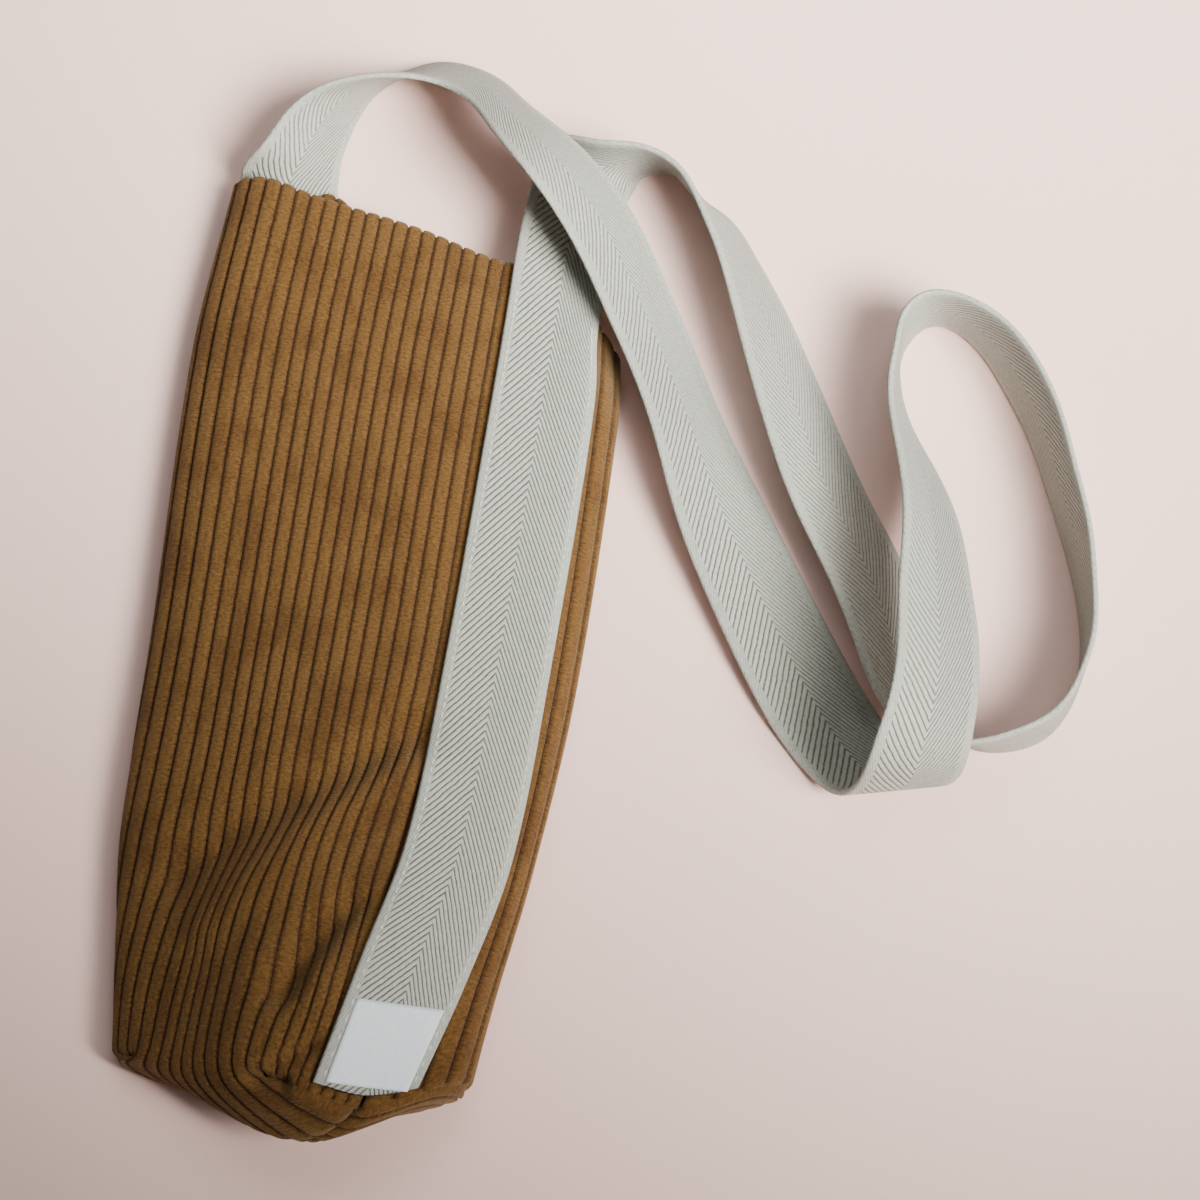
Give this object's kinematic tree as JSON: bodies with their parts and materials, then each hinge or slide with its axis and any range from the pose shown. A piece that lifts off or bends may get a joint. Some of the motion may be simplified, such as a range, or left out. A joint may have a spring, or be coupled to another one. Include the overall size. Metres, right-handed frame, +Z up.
{
  "type": "bottle carrier bag",
  "caption": "Soft corduroy bottle bag with a boxed base, lined mouth and one long herringbone webbing strap sewn up both side seams, lying flat with its strap loops spread beside it.",
  "frame": {"origin": "on the flat underside of the back panel, near the middle of the bag's length, where the bag rests on the floor", "axes": "+Z up from the floor, +Y from the base towards the mouth, +X from the bag towards the spread strap loops"},
  "size_m": [0.2716, 0.3486, 0.0493],
  "materials": {
    "corduroy": "caramel wide-wale cotton corduroy",
    "lining": "plain brown cotton",
    "webbing": "undyed herringbone cotton webbing",
    "label": "plain white woven tape"
  },
  "bodies": {
    "bag": {"corduroy_front_panel": "corduroy", "corduroy_back_panel": "corduroy", "lining_front_panel": "lining", "lining_back_panel": "lining", "strap_left": "webbing", "strap_right": "webbing", "label": "label"},
    "loop": {"strap_loop": "webbing"}
  },
  "joints": [
    {"name": "strap_lift", "type": "hinge", "parent": "bag", "child": "loop", "pos_m": [0.07, 0.09, 0.03], "axis": [0, -1, 0], "range_deg": [0, 90]}
  ]
}
